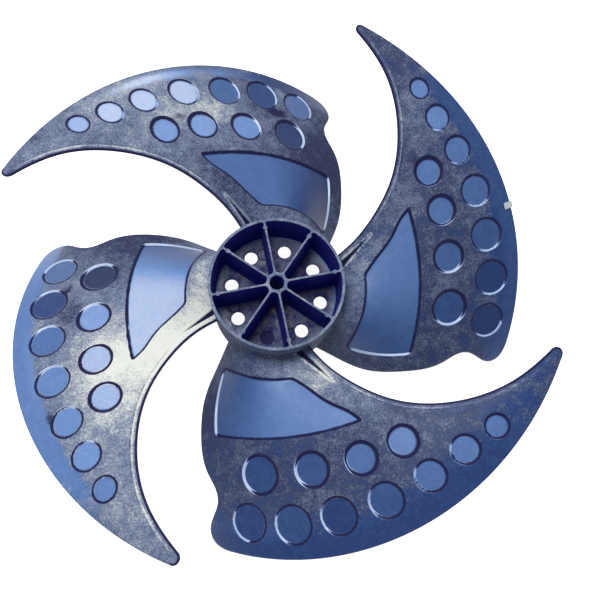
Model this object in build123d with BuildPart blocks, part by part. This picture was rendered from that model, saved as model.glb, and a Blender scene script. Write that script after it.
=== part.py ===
"""Axial fan impeller: one injection moulding with four swept sickle blades round an open cup hub.

The shaft axis is Z and the hub's open side faces +Z, towards the motor. The origin is on the axis, in the
plane of the nut seat at the lower end of the boss. Blade angles are measured from +X, seen from +Z, and
belong to the first blade. Lengths are in millimetres and angles in degrees.
"""
from build123d import *
from math import cos, pi, radians, sin, tan
import os

# ---- overall ----
fan_diameter = 460.0
blade_count = 4
edge_bevel = 0.5

# ---- hub ----
hub_diameter = 120.0
hub_height = 70.0
hub_base = 2.0
hub_wall = 2.6
cell_depth = 39.0
web_thickness = 3.0
cell_draft = 2.0
cell_corner = 2.0
rib_count = 8
rib_thickness = 1.8
rib_angle = 12.0
rib_pad_diameter = 4.0
rib_pad_inset = 8.0
rib_pad_drop = 0.3

# ---- holes in the web, one to each cell, and the four marks left by the ejector sleeves ----
web_hole_diameter = 12.5
web_hole_inset = 18.0
ejector_mark_diameter = 11.0
ejector_mark_inset = 19.5
ejector_mark_depth = 0.3
ejector_mark_count = 4
ejector_mark_offset = 5.8

# ---- boss and shaft bore ----
boss_diameter = 18.4
shaft_diameter = 12.0
mouth_diameter = 13.0
mouth_depth = 10.0
drive_diameter = 11.6
drive_flat = 4.7
drive_length = 22.0

# ---- blade sections, on evenly spaced cylinders from inside the hub to just past the outer edge ----
# trailing angle, leading angle, trailing height, leading height, camber, skew of the camber
blade_sections = (
    (37.0, 119.0, 2.0, 46.0, 1.70, 2.90),
    (48.5, 121.8, -3.0, 60.5, 1.15, 1.20),
    (54.2, 127.3, -5.5, 74.2, 0.84, 0.45),
    (61.6, 133.7, 2.8, 87.0, 0.59, 0.11),
    (69.8, 142.2, 8.5, 102.3, 0.40, 0.00),
    (75.5, 153.2, 6.2, 121.0, 0.42, 0.05),
    (77.5, 167.0, -6.0, 135.5, 0.59, 0.35),
)
section_start = 10.0
section_end = 2.0
chord_steps = 12
chord_overrun = 0.08
root_thickness = 6.5
tip_thickness = 3.0

# ---- waist and rounded lobe of the trailing corner: distance in from the outer edge, and angle ----
lobe_points = ((45.0, 74.3), (37.0, 75.2), (22.0, 74.9), (13.0, 75.1), (3.5, 77.0))
corner_angle = 80.5
point_angle = 166.8
point_radius = 5.0

# ---- round dimples in the face of the blade: distance in from the outer edge, angle, diameter ----
outer_dimples = (
    (27.5, 84.2, 35.0),
    (28.0, 94.6, 35.0),
    (30.0, 105.1, 33.0),
    (29.5, 116.1, 31.0),
    (28.5, 126.9, 27.5),
    (26.5, 136.0, 25.5),
    (20.0, 143.8, 21.5),
)
inner_dimples = (
    (68.0, 85.7, 37.0),
    (70.0, 101.0, 33.0),
    (66.5, 115.1, 30.5),
    (61.5, 126.9, 29.0),
)
outer_dimple_depth = 1.3
inner_dimple_depth = 1.9
dimple_wall_angle = 50.0

# ---- large pocket beside the hub: its corners and the middles of its curved sides, as radius and angle ----
pocket_tip = (139.0, 121.5)
pocket_outer_middle = (133.5, 90.0)
pocket_outer_corner = (140.0, 67.5)
pocket_trail_middle = (119.0, 62.6)
pocket_trail_corner = (80.0, 54.0)
pocket_hub_corner = (80.0, 100.5)
pocket_lead_side = ((91.7, 107.4), (113.0, 114.9), (125.0, 119.3))
pocket_corner_radius = 5.0
pocket_depth = 2.6
pocket_fade_point = (80.5, 55.1)
pocket_fade_length = 45.0

# ---- wedge-shaped groove at the root, between the leading lip and the blade ----
groove_apex = (98.5, 119.8)
groove_blade_angle = 105.5
groove_lip_angle = 113.0
groove_depth = 3.5

# ---- spring-steel balance clip on the outer edge of one blade ----
clip_blade = 3
clip_angle = 110.2
clip_width = 6.0
clip_leg = 7.5
clip_gauge = 0.5
clip_clearance = 0.25
clip_end_clearance = 0.7

hub_radius = hub_diameter / 2
fan_radius = fan_diameter / 2
boss_radius = boss_diameter / 2
half_cell = 180 / rib_count
web_top = hub_height - cell_depth
web_height = web_top - web_thickness
section_gap = (fan_radius + section_end - hub_radius + section_start) / (len(blade_sections) - 1)
section_radii = [hub_radius - section_start + section_gap * k for k in range(len(blade_sections))]
sweep_low = -40.0
sweep_high = 170.0


def polar(radius, angle, height=0.0):
    """A point at this radius and angle round the shaft axis."""
    return Vector(radius * cos(radians(angle)), radius * sin(radians(angle)), height)


def blade_thickness(radius, angle):
    """Height of the blade's section along Z, the same all along a cylinder round the axis."""
    share = (section_radii[-1] - radius) / (section_radii[-1] - section_radii[0])
    return tip_thickness + (root_thickness - tip_thickness) * share**2


def pocket_drop(radius, angle):
    """Depth of the pocket's floor, which rises to the face of the blade at one corner by the hub."""
    share = (polar(radius, angle) - polar(*pocket_fade_point)).length / pocket_fade_length
    return pocket_depth * min(1.0, share)


def blade_surface(drop):
    """The blade's face lowered by drop(radius, angle), as one spline surface through the sections."""
    rows = []
    for radius, section in zip(section_radii, blade_sections):
        trail, lead, trail_height, lead_height, camber, skew = section
        row = []
        for step in range(chord_steps + 1):
            share = (1 + 2 * chord_overrun) * step / chord_steps - chord_overrun
            bow = share * (1 - share) * (camber + skew * (1 - 2 * share))
            height = trail_height + (lead_height - trail_height) * (share + bow)
            angle = trail + (lead - trail) * share
            row.append(polar(radius, angle, height - drop(radius, angle)))
        rows.append(row)
    return Face.make_surface_from_array_of_points(rows)


def swept(face, height):
    """The space that a face covers when it moves along Z."""
    return Solid.extrude(face, Vector(0, 0, height))


face_surface = blade_surface(lambda radius, angle: 0.0)
back_surface = blade_surface(blade_thickness)
pocket_surface = blade_surface(pocket_drop)
groove_surface = blade_surface(lambda radius, angle: groove_depth)


def face_plane(radius, angle):
    """The plane that touches the blade's face at this radius and angle, with its normal on the +Z side."""
    point, normal = face_surface.find_intersection_points(Axis(polar(radius, angle), (0, 0, 1)))[0]
    return Plane(origin=point, x_dir=polar(1, angle), z_dir=normal if normal.Z > 0 else -normal)


# ---- one blade ----
with BuildPart() as blade:
    with BuildSketch(Plane.XY.offset(sweep_low)) as outline:
        with BuildLine():
            point = polar(fan_radius, point_angle)
            corner = polar(fan_radius, corner_angle)
            lead_edge = [polar(r, row[1]) for r, row in zip(section_radii, blade_sections[:-1])]
            trail_edge = [polar(r, row[0]) for r, row in zip(section_radii, blade_sections[:-2])]
            lobe = [polar(fan_radius - inset, angle) for inset, angle in lobe_points]
            Spline(*lead_edge, point)
            ThreePointArc(point, polar(fan_radius, (point_angle + corner_angle) / 2), corner)
            Spline(
                *trail_edge,
                *lobe,
                corner,
                tangents=(trail_edge[1] - trail_edge[0], polar(1, corner_angle + 90)),
            )
            Line(lead_edge[0], trail_edge[0])
        make_face()
        fillet(outline.vertices().sort_by_distance(point)[0], point_radius)
        Circle(hub_radius - hub_wall / 2, mode=Mode.SUBTRACT)
    extrude(amount=sweep_high - sweep_low)
    add(swept(face_surface, sweep_low - sweep_high), mode=Mode.INTERSECT)
    add(swept(back_surface, sweep_high - sweep_low), mode=Mode.INTERSECT)

    # dimples with sloping walls and flat floors
    for dimples, depth in ((outer_dimples, outer_dimple_depth), (inner_dimples, inner_dimple_depth)):
        flare = tan(radians(dimple_wall_angle))
        for inset, angle, diameter in dimples:
            with Locations(face_plane(fan_radius - inset, angle).offset(-depth)):
                Cone(
                    diameter / 2 - depth * flare,
                    diameter / 2 + depth * flare,
                    2 * depth,
                    align=(Align.CENTER, Align.CENTER, Align.MIN),
                    mode=Mode.SUBTRACT,
                )

# ---- what is cut from the blade's face beside the hub ----
with BuildPart() as pocket:
    with BuildSketch(Plane.XY.offset(sweep_low)) as pocket_plan:
        with BuildLine():
            ThreePointArc(polar(*pocket_tip), polar(*pocket_outer_middle), polar(*pocket_outer_corner))
            ThreePointArc(
                polar(*pocket_outer_corner), polar(*pocket_trail_middle), polar(*pocket_trail_corner)
            )
            RadiusArc(polar(*pocket_trail_corner), polar(*pocket_hub_corner), -pocket_trail_corner[0])
            lead_side = [polar(*spot) for spot in pocket_lead_side]
            Spline(polar(*pocket_hub_corner), *lead_side, polar(*pocket_tip))
        make_face()
        fillet(pocket_plan.vertices(), pocket_corner_radius)
    extrude(amount=sweep_high - sweep_low)
    add(swept(pocket_surface, sweep_high - sweep_low), mode=Mode.INTERSECT)

with BuildPart() as root_groove:
    with BuildSketch(Plane.XY.offset(sweep_low)):
        with BuildLine():
            Polyline(
                polar(*groove_apex),
                polar(hub_radius - hub_wall, groove_blade_angle),
                polar(hub_radius - hub_wall, groove_lip_angle),
                close=True,
            )
        make_face()
    extrude(amount=sweep_high - sweep_low)
    add(swept(groove_surface, sweep_high - sweep_low), mode=Mode.INTERSECT)

# ---- the whole moulding ----
with BuildPart() as impeller:
    with BuildSketch(Plane.XY.offset(hub_base)):
        Circle(hub_radius)
    extrude(amount=hub_height - hub_base)
    chamfer(impeller.edges().filter_by(GeomType.CIRCLE), edge_bevel)
    with PolarLocations(0, blade_count):
        add(blade.part)
        add(pocket.part, mode=Mode.SUBTRACT)
        add(root_groove.part, mode=Mode.SUBTRACT)

    # cells on the motor side of the web and below it, with the ribs left standing between them
    for end, depth, turn, corner in (
        (Plane.XY.offset(hub_height), cell_depth, rib_angle, cell_corner),
        (-Plane.XY.offset(hub_base), web_height - hub_base, -rib_angle, 0.0),
    ):
        with BuildSketch(end) as cells:
            Circle(hub_radius - hub_wall)
            Circle(boss_radius, mode=Mode.SUBTRACT)
            with PolarLocations(0, rib_count, start_angle=turn):
                Rectangle(
                    hub_radius, rib_thickness, align=(Align.MIN, Align.CENTER), mode=Mode.SUBTRACT
                )
            if corner:
                fillet(cells.vertices(), corner)
        extrude(amount=-depth, taper=cell_draft, mode=Mode.SUBTRACT)

    # boss, which stands proud of the hub's lower rim as the seat of the nut
    with BuildSketch():
        Circle(boss_radius)
    extrude(amount=hub_height)

    # pads on the ribs, just below the rim
    with BuildSketch(Plane.XY.offset(hub_height - rib_pad_drop)):
        with PolarLocations(hub_radius - rib_pad_inset, rib_count, start_angle=rib_angle):
            Circle(rib_pad_diameter / 2)
    extrude(amount=-cell_depth)

    # holes in the web, and the shallow rings left by the ejector sleeves
    with BuildSketch(Plane.XY.offset(web_top)):
        with PolarLocations(hub_radius - web_hole_inset, rib_count, start_angle=rib_angle + half_cell):
            Circle(web_hole_diameter / 2)
    extrude(amount=-web_thickness, mode=Mode.SUBTRACT)
    with BuildSketch(Plane.XY.offset(web_top)):
        with PolarLocations(
            hub_radius - ejector_mark_inset,
            ejector_mark_count,
            start_angle=rib_angle + ejector_mark_offset,
        ):
            Circle(ejector_mark_diameter / 2)
    extrude(amount=-ejector_mark_depth, mode=Mode.SUBTRACT)

    # boss bore: a wider mouth, the round bore that runs on the shaft, and the D-shaped drive below it
    with BuildSketch(Plane.XY.offset(hub_height)):
        Circle(mouth_diameter / 2)
    extrude(amount=-mouth_depth, mode=Mode.SUBTRACT)
    with BuildSketch(Plane.XY.offset(drive_length)):
        Circle(shaft_diameter / 2)
    extrude(amount=hub_height - drive_length, mode=Mode.SUBTRACT)
    with BuildSketch(Plane.XY):
        Circle(drive_diameter / 2)
        with Locations((0, drive_flat)):
            Rectangle(
                drive_diameter, drive_diameter, align=(Align.CENTER, Align.MIN), mode=Mode.SUBTRACT
            )
    extrude(amount=drive_length, mode=Mode.SUBTRACT)

# ---- balance clip: a folded strip pushed over the outer edge of one blade ----
blade_seat = face_plane(fan_radius - clip_leg / 2, clip_angle)
clip_seat = Plane(Rotation(0, 0, clip_blade * 360 / blade_count) * blade_seat.location)
clip_end = clip_leg / 2 + clip_end_clearance
clip_back = -tip_thickness * blade_seat.z_dir.Z - clip_clearance

with BuildPart() as balance_clip:
    with BuildSketch(Plane(clip_seat.origin, x_dir=clip_seat.x_dir, z_dir=-clip_seat.y_dir)):
        with BuildLine():
            inside = Polyline(
                (-clip_leg / 2, clip_clearance),
                (clip_end, clip_clearance),
                (clip_end, clip_back),
                (-clip_leg / 2, clip_back),
            )
            offset(inside, clip_gauge, side=Side.LEFT)
        make_face()
    extrude(amount=clip_width / 2, both=True)

impeller.part.label = "impeller"
balance_clip.part.label = "balance_clip"

os.makedirs("parts", exist_ok=True)
export_step(impeller.part, "parts/impeller.step")
export_step(balance_clip.part, "parts/balance_clip.step")
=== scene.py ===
# %% [markdown]
# # Axial fan impeller
# This is the fan wheel of an outdoor cooling unit: four swept blades round a cup-shaped hub, moulded in one
# piece in navy plastic, with a small steel clip that balances it. The CAD model says where everything is.
# The visible surfaces are worked out with numpy, in millimetres in that model's frame, and become meshes in
# metres. The shaft axis is Z, and the open side of the hub faces up. Blade angles run from +X and belong to
# the first blade. The others are turned copies.

# %% Load the CAD model
from math import pi, radians, tan

import bpy
import numpy as np
from mathutils import Matrix, Vector


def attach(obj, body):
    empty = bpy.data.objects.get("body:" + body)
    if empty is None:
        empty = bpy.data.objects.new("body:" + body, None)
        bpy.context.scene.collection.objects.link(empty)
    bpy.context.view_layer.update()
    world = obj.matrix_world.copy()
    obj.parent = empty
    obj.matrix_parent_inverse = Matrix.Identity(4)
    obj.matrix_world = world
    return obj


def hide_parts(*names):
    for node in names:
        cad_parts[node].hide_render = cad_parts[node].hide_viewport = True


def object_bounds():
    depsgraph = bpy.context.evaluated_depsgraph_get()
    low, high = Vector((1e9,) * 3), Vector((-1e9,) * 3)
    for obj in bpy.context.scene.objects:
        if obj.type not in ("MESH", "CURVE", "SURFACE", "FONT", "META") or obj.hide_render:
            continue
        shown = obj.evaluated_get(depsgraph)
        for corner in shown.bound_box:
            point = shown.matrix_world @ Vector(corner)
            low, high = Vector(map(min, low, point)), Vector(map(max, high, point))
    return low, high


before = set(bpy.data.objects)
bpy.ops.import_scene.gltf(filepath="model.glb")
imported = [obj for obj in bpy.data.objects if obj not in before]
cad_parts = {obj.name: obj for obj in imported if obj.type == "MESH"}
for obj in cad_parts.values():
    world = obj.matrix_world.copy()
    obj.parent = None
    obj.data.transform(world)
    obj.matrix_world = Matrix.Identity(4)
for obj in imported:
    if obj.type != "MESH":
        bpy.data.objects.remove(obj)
cad_low, cad_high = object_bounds()
print("CAD box in metres:", np.round(cad_low, 4), "to", np.round(cad_high, 4))

# %% [markdown]
# ## The face of a blade
# A real blade is twisted, cambered and swept, and its designer draws it as sections on cylinders round the
# shaft. It could be sculpted, or lofted as a NURBS surface. A formula is used because it gives the height at
# any radius and angle, so every edge and hollow can be set out on it and agrees with the CAD model.

# %% Plan points and splines
def polar(radius, angle):
    """Plan points at these radii and angles, in millimetres and degrees."""
    angle = np.radians(angle)
    return np.stack([radius * np.cos(angle), radius * np.sin(angle)], axis=-1)


def cubic(knots, values):
    """The natural cubic spline through these values, as a function.

    The bends at the knots solve one set of equations, which makes the slope run on evenly through every knot.
    """
    x, y = np.asarray(knots, float), np.asarray(values, float)
    gap = np.diff(x)
    system, right = np.eye(len(x)), np.zeros(len(x))
    for k in range(1, len(x) - 1):
        system[k, k - 1:k + 2] = gap[k - 1], 2 * (gap[k - 1] + gap[k]), gap[k]
        right[k] = 6 * ((y[k + 1] - y[k]) / gap[k] - (y[k] - y[k - 1]) / gap[k - 1])
    bend = np.linalg.solve(system, right)

    def at(t):
        k = np.clip(np.searchsorted(x, t) - 1, 0, len(x) - 2)
        before, after, span = x[k + 1] - t, t - x[k], gap[k]
        return (
            (bend[k] * before**3 + bend[k + 1] * after**3) / (6 * span)
            + (y[k] / span - bend[k] * span / 6) * before
            + (y[k + 1] / span - bend[k + 1] * span / 6) * after
        )

    return at


print("Radius 10 at 90 degrees is the plan point", polar(10.0, 90.0).round(3))

# %% Sections of the face, on evenly spaced cylinders
SECTION_RADIUS = np.linspace(50.0, 232.0, 7)
TRAIL_ANGLE = (37.0, 48.5, 54.2, 61.6, 69.8, 75.5, 77.5)
LEAD_ANGLE = (119.0, 121.8, 127.3, 133.7, 142.2, 153.2, 167.0)
TRAIL_HEIGHT = (2.0, -3.0, -5.5, 2.8, 8.5, 6.2, -6.0)
LEAD_HEIGHT = (46.0, 60.5, 74.2, 87.0, 102.3, 121.0, 135.5)
CAMBER = (1.70, 1.15, 0.84, 0.59, 0.40, 0.42, 0.59)
CAMBER_SKEW = (2.90, 1.20, 0.45, 0.11, 0.00, 0.05, 0.35)

section = {
    name: cubic(SECTION_RADIUS, values)
    for name, values in (
        ("trail", TRAIL_ANGLE), ("lead", LEAD_ANGLE), ("low", TRAIL_HEIGHT), ("high", LEAD_HEIGHT),
        ("camber", CAMBER), ("skew", CAMBER_SKEW),
    )
}


def face_height(radius, angle):
    """Height of the smooth face.

    With t from 0 at the trailing to 1 at the leading edge, it is the straight line between the edges, plus a
    bow of t (1 - t) times the camber, which the skew moves towards one edge.
    """
    at = {name: curve(radius) for name, curve in section.items()}
    share = (angle - at["trail"]) / (at["lead"] - at["trail"])
    bow = share * (1 - share) * (at["camber"] + at["skew"] * (1 - 2 * share))
    return at["low"] + (at["high"] - at["low"]) * (share + bow)


print(f"Face height at radius 140: {face_height(140.0, 70.0):.1f} mm at 70 degrees, "
      f"{face_height(140.0, 120.0):.1f} mm at 120 degrees")


# %% Thickness
ROOT_THICKNESS, TIP_THICKNESS = 6.5, 3.0


def thickness(radius):
    """Thickness along Z: it grows from the tip to the root with the square of the way inwards."""
    share = (SECTION_RADIUS[-1] - radius) / (SECTION_RADIUS[-1] - SECTION_RADIUS[0])
    return TIP_THICKNESS + (ROOT_THICKNESS - TIP_THICKNESS) * share**2


print("Thickness on the sections in mm:", thickness(SECTION_RADIUS).round(1))

# %% [markdown]
# ## The outline and the grid
# The trailing edge ends in a round lobe, and the leading edge runs forward into a blunt point. A Boolean
# could cut the blade out of a larger sheet, but leaves long thin faces. Here each row of the grid runs from
# one outline to the other, so the outline is exact, and rows and columns crowd together beside it to round
# the edge.

# %% Polylines and the trailing outline
def lengths(line):
    """Distance along a polyline to each of its points."""
    return np.r_[0, np.cumsum(np.hypot(*np.diff(line, axis=0).T))]


def along(line, shares):
    """Points at these shares of a polyline's length."""
    run = lengths(line)
    return np.stack([np.interp(shares * run[-1], run, line[:, k]) for k in (0, 1)], axis=-1)


def smooth_line(points, count=1500):
    """A fine polyline along the cubic curve through these plan points, over the distance between them."""
    points = np.asarray(points, float)
    run = lengths(points)
    fine = np.linspace(0, run[-1], count)
    return np.stack([cubic(run, points[:, k])(fine) for k in (0, 1)], axis=-1)


FAN_RADIUS = 230.0
HUB_RADIUS, HUB_WALL = 60.0, 2.6
ROOT_RADIUS = HUB_RADIUS - HUB_WALL / 2
LOBE = ((185.0, 74.3), (193.0, 75.2), (208.0, 74.9), (217.0, 75.1), (226.5, 77.0))
CORNER_ANGLE = 80.5


def trailing_outline():
    """From inside the hub's wall, round the lobe, to where the outer edge begins."""
    points = [polar(r, a) for r, a in zip(SECTION_RADIUS[:-2], TRAIL_ANGLE)]
    points += [polar(*spot) for spot in LOBE]
    points += [polar(FAN_RADIUS, CORNER_ANGLE), polar(FAN_RADIUS, CORNER_ANGLE + 4)]
    line = smooth_line(points)
    turned_to = np.degrees(np.arctan2(line[:, 1], line[:, 0]))
    from_axis = np.hypot(*line.T)
    keep = (from_axis > ROOT_RADIUS) & ~((from_axis > FAN_RADIUS - 1) & (turned_to > CORNER_ANGLE))
    return np.minimum(1, FAN_RADIUS / from_axis[keep])[:, None] * line[keep]


trailing = trailing_outline()
print(f"Trailing outline: {lengths(trailing)[-1]:.0f} mm")

# %% Leading outline
POINT_ANGLE, POINT_RADIUS = 166.8, 5.0


def arc(start, middle, end, count=60):
    """A fine polyline along the circle whose centre is equally far from three plan points."""
    a, b, c = (np.asarray(p, float) for p in (start, middle, end))
    rows = 2 * np.array([b - a, c - a])
    centre = np.linalg.solve(rows, [b @ b - a @ a, c @ c - a @ a])
    turn = np.unwrap([np.arctan2(*(p - centre)[::-1]) for p in (a, b, c)])
    return centre + np.hypot(*(a - centre)) * polar(1, np.degrees(np.linspace(turn[0], turn[2], count)))


def leading_outline():
    """From inside the hub's wall, along the leading edge and round the point, to where the outer edge ends.

    The round point touches both the leading edge and the outer edge. Its place on the outer edge is found by
    halving a range of angles until its centre lies one radius from the leading edge.
    """
    points = [polar(r, a) for r, a in zip(SECTION_RADIUS[:-1], LEAD_ANGLE)] + [polar(FAN_RADIUS, POINT_ANGLE)]
    line = smooth_line(points)
    low, high = 150.0, POINT_ANGLE
    for _ in range(40):
        middle = (low + high) / 2
        centre = polar(FAN_RADIUS - POINT_RADIUS, middle)
        gaps = np.hypot(*(line - centre).T)
        low, high = (middle, high) if gaps.min() > POINT_RADIUS else (low, middle)
    touch = line[gaps.argmin()]
    end = polar(FAN_RADIUS, middle)
    out = centre - (touch + end) / 2
    tip = centre - POINT_RADIUS * out / np.linalg.norm(out)
    if (tip - centre) @ (polar(1, middle + 90)) < 0:
        tip = 2 * centre - tip
    line = line[: gaps.argmin()]
    return np.vstack([line[np.hypot(*line.T) > ROOT_RADIUS], arc(touch, tip, end)])


leading = leading_outline()
print(f"Leading outline: {lengths(leading)[-1]:.0f} mm")

# %% The grid between the outlines
ROWS, COLUMNS = 215, 360
ROW_SPAN, COLUMN_SPAN = 190.0, 250.0
EDGE_STEPS = (0.0, 0.12, 0.35, 0.7, 1.15, 1.8)


def crowded(count, length, ends):
    """Shares from 0 to 1, even in the middle and crowded as EDGE_STEPS says at these ends of this length."""
    edge = np.array(EDGE_STEPS) / length
    start = edge if 0 in ends else np.array([0.0])
    finish = 1 - edge[::-1] if 1 in ends else np.array([1.0])
    return np.r_[start[:-1], np.linspace(start[-1], finish[0], count), finish[1:]]


def to_polar(points):
    """Radius and angle of plan points."""
    return np.hypot(points[..., 0], points[..., 1]), np.degrees(np.arctan2(points[..., 1], points[..., 0]))


row_share = crowded(ROWS, ROW_SPAN, (1,))
column_share = crowded(COLUMNS, COLUMN_SPAN, (0, 1))
trail_r, trail_a = to_polar(along(trailing, row_share))
lead_r, lead_a = to_polar(along(leading, row_share))
radius = trail_r[:, None] + (lead_r - trail_r)[:, None] * column_share
angle = trail_a[:, None] + (lead_a - trail_a)[:, None] * column_share
plan = polar(radius, angle)
print("Grid of rows and columns:", radius.shape)

# %% Distance from the edges
def distance(points, line):
    """Distance from each plan point to a polyline: the smallest of its distances to the polyline's pieces."""
    flat = points.reshape(-1, 2)
    best = np.full(len(flat), np.inf)
    for start, end in zip(line[:-1], line[1:]):
        step = end - start
        share = np.clip((flat - start) @ step / (step @ step + 1e-12), 0, 1)
        best = np.minimum(best, np.hypot(*(flat - start - share[:, None] * step).T))
    return best.reshape(points.shape[:-1])


outer_edge = polar(FAN_RADIUS, np.linspace(trail_a[-1], lead_a[-1], 300))
leading_back = along(leading, np.linspace(1, 0, 260))
edge_gap = distance(plan, np.vstack([along(trailing, np.linspace(0, 1, 200)), outer_edge, leading_back]))
lead_gap = distance(plan, leading_back)
print(f"Deepest point of the blade lies {edge_gap.max():.0f} mm from its edge")

# %% [markdown]
# ## Dimples
# Eleven shallow round dishes in two rows save weight and stiffen the plastic. They could be cut with
# Booleans or painted as displacement. Here the height of the grid is blended to each dish's flat floor,
# square to the surface, so that the mesh stays one clean sheet. The same blend gives masks for the material.

# %% Smooth steps and slopes
def ease(value):
    """A smooth step from 0 to 1: with t clipped to that range, it is t squared times 3 - 2t."""
    value = np.clip(value, 0, 1)
    return value * value * (3 - 2 * value)


def face_point(radius, angle):
    """A point of the face and the normal there, from the differences of height half a millimetre away."""
    spot = polar(radius, angle)
    step = 0.5
    heights = []
    for move in ((step, 0), (-step, 0), (0, step), (0, -step)):
        x, y = spot + move
        heights.append(face_height(np.hypot(x, y), np.degrees(np.arctan2(y, x))))
    slope_x, slope_y = (heights[0] - heights[1]) / (2 * step), (heights[2] - heights[3]) / (2 * step)
    normal = np.array([-slope_x, -slope_y, 1.0])
    return np.r_[spot, face_height(radius, angle)], normal / np.linalg.norm(normal)


# %% Sink the dimples
# Radius from the axis, angle and diameter at the rim, from the trailing to the leading side.
OUTER_DIMPLES = (
    (202.5, 84.2, 35.0), (202.0, 94.6, 35.0), (200.0, 105.1, 33.0), (200.5, 116.1, 31.0),
    (201.5, 126.9, 27.5), (203.5, 136.0, 25.5), (210.0, 143.8, 21.5),
)
INNER_DIMPLES = ((162.0, 85.7, 37.0), (160.0, 101.0, 33.0), (163.5, 115.1, 30.5), (168.5, 126.9, 29.0))
OUTER_DEPTH, OUTER_WALL = 1.4, 2.8
INNER_DEPTH, INNER_WALL = 2.1, 4.2
FLOOR_START, FLOOR_BLEND = 0.85, 0.8

smooth_face = face_height(radius, angle)
face = smooth_face.copy()
position = np.dstack([plan, smooth_face])
floor_masks = {"outer": [], "inner": []}
wall_mask = np.zeros_like(face)

for row, dimples, depth, wall in (
    ("outer", OUTER_DIMPLES, OUTER_DEPTH, OUTER_WALL),
    ("inner", INNER_DIMPLES, INNER_DEPTH, INNER_WALL),
):
    for spot_radius, spot_angle, diameter in dimples:
        centre, normal = face_point(spot_radius, spot_angle)
        offset = position - centre
        rise = offset @ normal
        reach = np.linalg.norm(offset - rise[..., None] * normal, axis=-1)
        sunk = ease((diameter / 2 - reach) / wall)
        floor = centre[2] - (depth + offset[..., 0] * normal[0] + offset[..., 1] * normal[1]) / normal[2]
        face = face + (floor - face) * sunk
        floor_masks[row].append(ease((diameter / 2 - FLOOR_START * wall - reach) / FLOOR_BLEND))
        wall_mask = np.maximum(wall_mask, 4 * sunk * (1 - sunk))

print("Dimples on a blade:", {row: len(masks) for row, masks in floor_masks.items()})

# %% [markdown]
# ## Pocket, groove and crease
# Beside the hub each blade has a large shallow pocket that fades out towards the hub, a wedge-shaped groove
# at its root and a faint crease along its leading edge. They could be sculpted, but one recipe keeps their
# walls even: the distance inside an outline, made a smooth step and taken off the height.

# %% Closed outlines and the pocket
def depth_inside(points, outline):
    """Distance inwards from a closed outline, negative outside it.

    A point is inside where a line from it along X crosses the outline an odd number of times.
    """
    ring = np.vstack([outline, outline[:1]])
    x, y = points[..., 0], points[..., 1]
    inside = np.zeros(x.shape, bool)
    for (xa, ya), (xb, yb) in zip(ring[:-1], ring[1:]):
        if ya != yb:
            inside ^= ((ya > y) != (yb > y)) & (x < (xb - xa) * (y - ya) / (yb - ya) + xa)
    return np.where(inside, 1, -1) * distance(points, ring)


def soften(ring, reach):
    """A closed polyline at steps of about a millimetre, each point the mean of those within this reach."""
    ring = np.vstack([ring, ring[:1]])
    even = along(ring, np.linspace(0, 1, int(lengths(ring)[-1]) + 1))[:-1]
    return sum(np.roll(even, k, axis=0) for k in range(-reach // 2, reach // 2 + 1)) / (reach // 2 * 2 + 2)


# Three arcs and a spline through these points, as radius and angle.
POCKET_ARCS = (
    ((139.0, 121.5), (133.5, 90.0), (140.0, 67.5)),
    ((140.0, 67.5), (119.0, 62.6), (80.0, 54.0)),
    ((80.0, 54.0), (80.0, 77.0), (80.0, 100.5)),
)
POCKET_LEAD_SIDE = ((80.0, 100.5), (91.7, 107.4), (113.0, 114.9), (125.0, 119.3), (139.0, 121.5))
POCKET_DEPTH, POCKET_WALL = 2.6, 3.4
POCKET_FADE_SPOT, POCKET_FADE_LENGTH = (80.5, 55.1), 45.0
POCKET_CORNER_REACH = 9

pocket_sides = [arc(*(polar(*spot) for spot in side))[:-1] for side in POCKET_ARCS]
pocket_sides.append(smooth_line([polar(*spot) for spot in POCKET_LEAD_SIDE], 80)[:-1])
pocket_inside = depth_inside(plan, soften(np.vstack(pocket_sides), POCKET_CORNER_REACH))
pocket_sunk = ease(pocket_inside / POCKET_WALL)
fade_gap = np.hypot(*np.moveaxis(plan - polar(*POCKET_FADE_SPOT), -1, 0))
face -= POCKET_DEPTH * np.minimum(1, fade_gap / POCKET_FADE_LENGTH) * pocket_sunk
print(f"Pocket: {pocket_inside.max() * 2:.0f} mm across at its widest")

# %% Root groove and leading-edge crease
GROOVE = ((98.5, 119.8), (57.4, 105.5), (57.4, 113.0))
GROOVE_DEPTH, GROOVE_WALL, GROOVE_CORNER_REACH = 3.5, 1.6, 3
CREASE_INSET, CREASE_WIDTH, CREASE_STEP = 5.0, 1.0, 0.35
CREASE_FROM, CREASE_TO, CREASE_FADE = 100.0, 225.0, 12

groove_inside = depth_inside(plan, soften(polar(*np.array(GROOVE).T), GROOVE_CORNER_REACH))
groove_sunk = ease(groove_inside / GROOVE_WALL)
face -= GROOVE_DEPTH * groove_sunk

crease_reach = ease((radius - CREASE_FROM) / CREASE_FADE) * ease((CREASE_TO - radius) / CREASE_FADE)
face -= CREASE_STEP * ease((CREASE_INSET - lead_gap) / CREASE_WIDTH + 0.5) * crease_reach
print(f"Groove: {groove_inside.max() * 2:.1f} mm wide")

# %% Rounded edges and the back
ROOT_FILLET, FACE_ROUND, BACK_ROUND = 2.5, 1.1, 0.9


def round_over(gap, size):
    """How far a surface drops at this gap from a rounded edge: the height of a circle of this size."""
    inward = np.clip(size - gap, 0, size)
    return size - np.sqrt(size**2 - inward**2)


face += round_over(radius - HUB_RADIUS, ROOT_FILLET)
back = smooth_face - thickness(radius)
face -= round_over(edge_gap, FACE_ROUND)
back += round_over(edge_gap, BACK_ROUND)
print(f"Blade from {back.min():.1f} to {face.max():.1f} mm")

# %% [markdown]
# ## Shader tools
# A material is a tree of nodes. It could be wired by hand in the editor. Here each short helper adds one
# node and gives back its output, so that a material reads like a formula and comes out the same on every
# run.

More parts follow.
